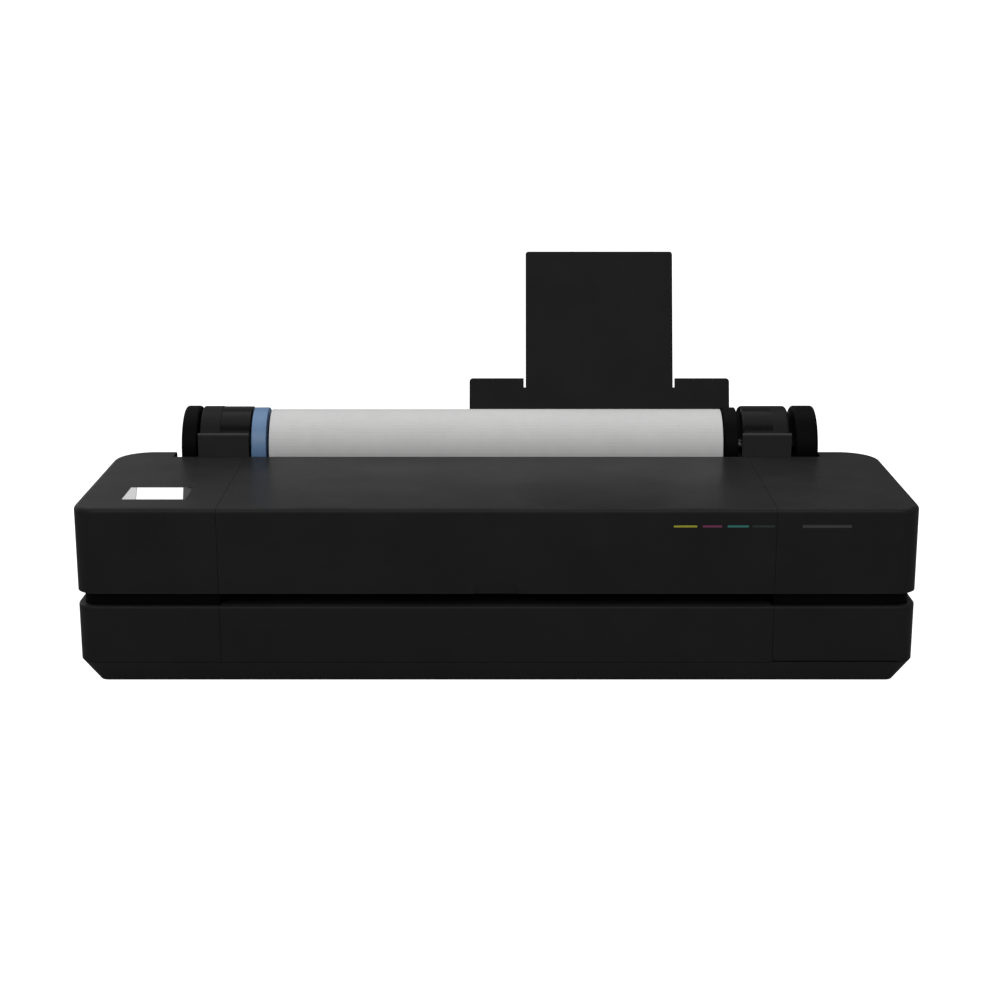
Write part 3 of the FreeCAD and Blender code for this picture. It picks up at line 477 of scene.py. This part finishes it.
cartridgeLook = {
    "pits": 1200.0, "capFrom": -0.2100, "capTo": -0.2098, "shell": grey(0.02), "patch": grey(0.03),
    "patchShare": 0.12, "rough": (0.32, 0.45), "bump": 0.08,
}


def inkPlastic(name, colour):
    # cartridge shell: black body with a coloured cap at the front
    look = cartridgeLook
    material, tree, shader, place = emptyMaterial(name)
    grain = placeGroup(tree, mouldGrain, Vector=place, Pit_Scale=look["pits"])
    patches = grain.outputs["Patches"]
    behind = rangeNode(tree, axesOf(tree, place)["Y"], look["capFrom"], look["capTo"], 0.0, 1.0)
    body = mixColour(tree, behind, colour, look["shell"])
    patched = mixColour(tree, patches, body, look["patch"])
    shade = mixColour(tree, look["patchShare"], body, patched)
    tree.links.new(shade, shader.inputs["Base Color"])
    low, high = look["rough"]
    tree.links.new(rangeNode(tree, patches, 0.0, 1.0, low, high), shader.inputs["Roughness"])
    bumpFrom(tree, shader, grain.outputs["Height"], look["bump"], grainDepth)
    return material


glassLook = {
    "smears": 55.0, "dark": grey(0.004), "light": grey(0.007),
    "smearFrom": 0.35, "smearTo": 0.7, "rough": (0.03, 0.10), "specular": 0.5,
}


def displayGlass(name):
    look = glassLook
    material, tree, shader, place = emptyMaterial(name)
    smears = noiseNode(tree, place, look["smears"], 4.0, 0.6)
    shade = mixColour(tree, smears, look["dark"], look["light"])
    tree.links.new(shade, shader.inputs["Base Color"])
    low, high = look["rough"]
    gloss = rangeNode(tree, smears, look["smearFrom"], look["smearTo"], low, high)
    tree.links.new(gloss, shader.inputs["Roughness"])
    shader.inputs["Specular IOR Level"].default_value = look["specular"]
    return material


litLook = {"grid": 5000.0, "gridShade": 0.97, "under": grey(0.02), "rough": 0.12, "strength": 1.0}


def screenLight(name, colour):
    # lit screen area; its grid of dots is a faint ripple in the light
    look = litLook
    material, tree, shader, place = emptyMaterial(name)
    grid = tree.nodes.new("ShaderNodeTexChecker")
    grid.inputs["Scale"].default_value = look["grid"]
    grid.inputs["Color1"].default_value = colour
    grid.inputs["Color2"].default_value = shadeOf(colour, look["gridShade"])
    tree.links.new(place, grid.inputs["Vector"])
    tree.links.new(grid.outputs["Color"], shader.inputs["Emission Color"])
    shader.inputs["Emission Strength"].default_value = look["strength"]
    shader.inputs["Base Color"].default_value = look["under"]
    shader.inputs["Roughness"].default_value = look["rough"]
    return material


rollAxis = (0.098, 0.228)
materialFor = {
    "case_black": plastic("caseBlack"),
    "band_black": plastic("bandBlack"),
    "cradle_black": plastic("cradleBlack"),
    "hub_gloss": plastic("hubGloss"),
    "stop_blue": plastic("stopBlue"),
    "paper_white": paperSheet("bondPaper", rollAxis[0], rollAxis[1], True),
    "core_board": cardboard("coreBoard"),
    "steel": metal("turnedSteel"),
    "zinc_sheet": metal("zincSheet"),
    "inner_grey": plastic("innerGrey"),
    "head_black": plastic("headBlack"),
    "rubber_dark": rubber("rubberDark"),
    "pulley_white": plastic("pulleyWhite"),
    "motor_case": metal("motorCase"),
    "board_green": circuitBoard("boardGreen"),
    "supply_case": metal("supplyCase"),
    "socket_black": plastic("socketBlack"),
    "display_glass": displayGlass("displayGlass"),
    "module_grey": plastic("socketBlack"),
    "badge_grey": plastic("badgeGrey"),
    "mark_yellow": plastic("markYellow"),
    "mark_magenta": plastic("markMagenta"),
    "mark_cyan": plastic("markCyan"),
    "mark_black": plastic("markBlack"),
    "cartridge_yellow": inkPlastic("inkYellow", (0.50, 0.42, 0.03, 1.0)),
    "cartridge_magenta": inkPlastic("inkMagenta", (0.42, 0.03, 0.16, 1.0)),
    "cartridge_cyan": inkPlastic("inkCyan", (0.02, 0.24, 0.42, 1.0)),
    "cartridge_black": inkPlastic("inkBlack", (0.06, 0.06, 0.065, 1.0)),
}
ownMaterial = {
    "left_end_disc": plastic("discSatin"),
    "right_end_disc": plastic("discSatin"),
    "roll_flange": plastic("discSatin"),
    "sheet_tray": plastic("trayBlack"),
    "tray_extension": plastic("trayBlack"),
    "frame_screws": metal("screwSteel"),
    "base_pan": plastic("panBlack"),
    "platen": plastic("platenBlack"),
}


def dress():
    for entry in frame["record"]["subparts"]:
        node = nodes[entry["node"]]
        material = ownMaterial.get(entry["node"], materialFor.get(entry["material_slot"]))
        node.data.materials.clear()
        node.data.materials.append(material)


dress()
print("materials assigned")


def finishPiece(name, bm, material, body):
    mesh = bpy.data.meshes.new(name)
    bmesh.ops.recalc_face_normals(bm, faces=bm.faces)
    bm.to_mesh(mesh)
    bm.free()
    mesh.materials.append(material)
    piece = bpy.data.objects.new(name, mesh)
    bpy.context.scene.collection.objects.link(piece)
    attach(piece, body)
    return piece


# lit areas on the glass: a pale side strip and the white page, with a dark margin at the right
screen = {
    "gap": 0.00002,
    "lift": 0.00005,
    "corner": 0.0008,
    "cornerSteps": 5,
    "pageLight": grey(1.0, (0.98, 0.99, 1.0)),
    "stripLight": grey(0.52),
    "page": ((-0.4425, -0.1945), (-0.3850, -0.1945), (-0.3945, -0.1345), (-0.4525, -0.1345)),
    "strip": ((-0.4600, -0.1945), (-0.4430, -0.1945), (-0.4530, -0.1345), (-0.4600, -0.1345)),
}


def litPatch(name, corners, colour):
    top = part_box("touch_display")[1].z + screen["gap"]
    bm = bmesh.new()
    ring = [bm.verts.new((x, y, top)) for x, y in corners]
    face = bm.faces.new(ring)
    grown = bmesh.ops.extrude_face_region(bm, geom=[face])["geom"]
    moved = [item for item in grown if isinstance(item, bmesh.types.BMVert)]
    bmesh.ops.translate(bm, vec=(0, 0, screen["lift"]), verts=moved)
    sides = []
    for edge in bm.edges:
        rise = edge.verts[0].co.z - edge.verts[1].co.z
        if abs(rise) > screen["lift"] / 2:
            sides.append(edge)
    bmesh.ops.bevel(
        bm, geom=sides, offset=screen["corner"], offset_type="OFFSET",
        segments=screen["cornerSteps"], profile=0.5, affect="EDGES", material=-1,
    )
    finishPiece(name, bm, screenLight(name + "Light", colour), "chassis")


def makeScreen():
    litPatch("screen_page", screen["page"], screen["pageLight"])
    litPatch("screen_strip", screen["strip"], screen["stripLight"])


makeScreen()
print("screen made")


# clear film strip with fine ticks, which the carriage reads
encoder = {
    "half": 0.440, "thick": 0.0003, "low": 0.152, "high": 0.160, "y": 0.0125,
    "corner": 0.0015, "cornerSteps": 4,
    "pitch": 0.0006, "tickEdge": 0.1, "ticksFrom": 0.1538, "ticksTo": 0.1539,
    "clear": grey(0.22), "tick": grey(0.01), "rough": (0.12, 0.3),
}


def filmMaterial():
    look = encoder
    material, tree, shader, place = emptyMaterial("encoderFilm")
    axes = axesOf(tree, place)
    wave = mathNode(tree, "SINE", multiply(tree, axes["X"], 2 * math.pi / look["pitch"]))
    ticks = rangeNode(tree, wave, -look["tickEdge"], look["tickEdge"], 0.0, 1.0)
    band = rangeNode(tree, axes["Z"], look["ticksFrom"], look["ticksTo"], 0.0, 1.0)
    shade = mixColour(tree, multiply(tree, ticks, band), look["clear"], look["tick"])
    tree.links.new(shade, shader.inputs["Base Color"])
    low, high = look["rough"]
    tree.links.new(rangeNode(tree, ticks, 0.0, 1.0, low, high), shader.inputs["Roughness"])
    return material


def makeEncoderStrip():
    look = encoder
    bm = bmesh.new()
    bmesh.ops.create_grid(bm, x_segments=2, y_segments=2, size=1.0)
    bmesh.ops.scale(bm, vec=(look["half"], (look["high"] - look["low"]) / 2, 1.0), verts=bm.verts)
    corners = [v for v in bm.verts if len(v.link_edges) == 2]
    bmesh.ops.bevel(
        bm, geom=corners, offset=look["corner"], offset_type="OFFSET",
        segments=look["cornerSteps"], profile=0.5, affect="VERTICES", material=-1,
    )
    # the film turns a quarter and stands on edge
    turn = Matrix.Rotation(math.radians(90.0), 3, "X")
    bmesh.ops.rotate(bm, matrix=turn, verts=bm.verts)
    bmesh.ops.translate(bm, vec=(0.0, look["y"], (look["low"] + look["high"]) / 2), verts=bm.verts)
    bmesh.ops.solidify(bm, geom=bm.faces, thickness=look["thick"])
    finishPiece("encoder_strip", bm, filmMaterial(), "chassis")


makeEncoderStrip()
print("encoder strip made")


# blank rating plate on the back wall
plate = {
    "wall": 0.1990, "centre": (-0.270, 0.064), "size": (0.076, 0.030), "thick": 0.0003,
    "corner": 0.003, "cornerSteps": 6,
    "brush": (30.0, 30.0, 1800.0), "dark": grey(0.26), "light": grey(0.38),
    "rough": (0.35, 0.5), "metallic": 0.6, "bump": 0.05, "depth": 0.0001,
}


def plateMaterial():
    look = plate
    material, tree, shader, place = emptyMaterial("plateFoil")
    lines = noiseNode(tree, mapped(tree, place, look["brush"]), 1.0, 3.0, 0.6)
    tree.links.new(mixColour(tree, lines, look["dark"], look["light"]), shader.inputs["Base Color"])
    low, high = look["rough"]
    tree.links.new(spread(tree, lines, low, high), shader.inputs["Roughness"])
    shader.inputs["Metallic"].default_value = look["metallic"]
    bumpFrom(tree, shader, lines, look["bump"], look["depth"])
    return material


def makeRatingPlate():
    look = plate
    wide, tall = look["size"]
    x, z = look["centre"]
    bm = bmesh.new()
    bmesh.ops.create_grid(bm, x_segments=1, y_segments=1, size=0.5)
    bmesh.ops.scale(bm, vec=(wide, tall, 1.0), verts=bm.verts)
    bmesh.ops.bevel(
        bm, geom=list(bm.verts), offset=look["corner"], offset_type="OFFSET",
        segments=look["cornerSteps"], profile=0.5, affect="VERTICES", material=-1,
    )
    turn = Matrix.Rotation(math.radians(90.0), 3, "X")
    bmesh.ops.rotate(bm, matrix=turn, verts=bm.verts)
    bmesh.ops.translate(bm, vec=(x, look["wall"], z), verts=bm.verts)
    grown = bmesh.ops.extrude_face_region(bm, geom=list(bm.faces))["geom"]
    moved = [item for item in grown if isinstance(item, bmesh.types.BMVert)]
    bmesh.ops.translate(bm, vec=(0.0, look["thick"], 0.0), verts=moved)
    finishPiece("rating_plate", bm, plateMaterial(), "chassis")


makeRatingPlate()
print("rating plate made")


# free end of the paper: one more turn's edge that lies on the roll, low at the back
sheetEnd = {
    "left": -0.3083, "right": 0.3063, "thick": 0.00025,
    "from": 200.0, "sweep": 42.0, "steps": 28,
}


def makeSheetEnd():
    look = sheetEnd
    low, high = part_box("paper_roll")
    middle = (low + high) / 2
    radius = (high.z - low.z) / 2
    start = math.radians(look["from"])
    y = middle.y - math.cos(start) * radius
    z = middle.z + math.sin(start) * radius
    bm = bmesh.new()
    edge = [bm.verts.new((x, y, z)) for x in (look["left"], look["right"])]
    line = bm.edges.new(edge)
    bmesh.ops.spin(
        bm, geom=edge + [line], cent=middle, axis=(1.0, 0.0, 0.0),
        angle=math.radians(look["sweep"]), steps=look["steps"],
    )
    bmesh.ops.recalc_face_normals(bm, faces=bm.faces)
    bmesh.ops.solidify(bm, geom=bm.faces, thickness=-look["thick"])
    paper = paperSheet("sheetPaper", middle.y, middle.z, False)
    finishPiece("sheet_end", bm, paper, "roll")


makeSheetEnd()
print("sheet end made")


studio = {
    "floorSize": 20.0,
    "floorShade": 0.25,
    "floorRough": 0.9,
    "floorSpecular": 0.1,
    "floorGlow": 1.1,
    "whiteBehind": 1.2,
    "frontGlow": 0.30,
    "backGlow": 0.15,
    "windowGlow": 0.80,
    "windowFrom": -0.40,
    "windowTo": -0.12,
    "roomFrom": -0.3,
    "roomTo": 0.6,
    "lights": {
        "top": {"place": (0.0, 0.5, 2.6), "aim": (0.0, 0.0, 0.2),
                "size": (4.0, 2.6), "power": 35.0},
        "front": {"place": (0.0, -2.6, 2.2), "aim": (0.0, 0.1, 0.2),
                  "size": (4.0, 1.8), "power": 51.0},
    },
}


def cameraOnly(tree, seenValue, otherValue):
    path = tree.nodes.new("ShaderNodeLightPath")
    return rangeNode(tree, path.outputs["Is Camera Ray"], 0.0, 1.0, otherValue, seenValue)


def makeFloor():
    bm = bmesh.new()
    bmesh.ops.create_grid(bm, x_segments=1, y_segments=1, size=studio["floorSize"])
    mesh = bpy.data.meshes.new("floor")
    bm.to_mesh(mesh)
    bm.free()
    floor = bpy.data.objects.new("floor", mesh)
    bpy.context.scene.collection.objects.link(floor)
    material, tree, shader, _ = emptyMaterial("floorPale")
    shader.inputs["Base Color"].default_value = grey(studio["floorShade"])
    shader.inputs["Roughness"].default_value = studio["floorRough"]
    shader.inputs["Specular IOR Level"].default_value = studio["floorSpecular"]
    shader.inputs["Emission Color"].default_value = grey(1.0)
    tree.links.new(cameraOnly(tree, studio["floorGlow"], 0.0), shader.inputs["Emission Strength"])
    mesh.materials.append(material)


def makeLights():
    for name, look in studio["lights"].items():
        data = bpy.data.lights.new(name, "AREA")
        data.shape = "RECTANGLE"
        data.size, data.size_y = look["size"]
        data.energy = look["power"]
        lamp = bpy.data.objects.new(name, data)
        lamp.location = look["place"]
        aim = Vector(look["aim"]) - Vector(look["place"])
        lamp.rotation_euler = aim.to_track_quat("-Z", "Y").to_euler()
        bpy.context.scene.collection.objects.link(lamp)


def makeWorld():
    # a soft window stands behind on the left; the rest of the room behind is dim
    look = studio
    world = bpy.data.worlds.new("softRoom")
    bpy.context.scene.world = world
    world.use_nodes = True
    tree = world.node_tree
    back = tree.nodes["Background"]
    back.inputs["Color"].default_value = grey(1.0)
    axes = axesOf(tree, tree.nodes.new("ShaderNodeTexCoord").outputs["Generated"])
    side = rangeNode(
        tree, axes["X"], look["windowFrom"], look["windowTo"], look["windowGlow"], look["backGlow"],
    )
    glow = rangeNode(tree, axes["Y"], look["roomFrom"], look["roomTo"], look["frontGlow"], side)
    tree.links.new(cameraOnly(tree, look["whiteBehind"], glow), back.inputs["Strength"])


camera = {
    "place": (0.0043, -2.392, 0.7848), "pitch": 14.3, "lens": 66.5, "sensor": 36.0,
    "near": 0.05, "far": 60.0,
}


def makeCamera():
    data = bpy.data.cameras.new("frontCamera")
    data.lens = camera["lens"]
    data.sensor_width = camera["sensor"]
    data.clip_start = camera["near"]
    data.clip_end = camera["far"]
    eye = bpy.data.objects.new("frontCamera", data)
    eye.location = camera["place"]
    eye.rotation_euler = (math.radians(90.0 - camera["pitch"]), 0.0, 0.0)
    bpy.context.scene.collection.objects.link(eye)
    bpy.context.scene.camera = eye


makeFloor()
makeLights()
makeWorld()
makeCamera()
bpy.context.scene.view_settings.view_transform = "Standard"
print("floor, light and camera placed")
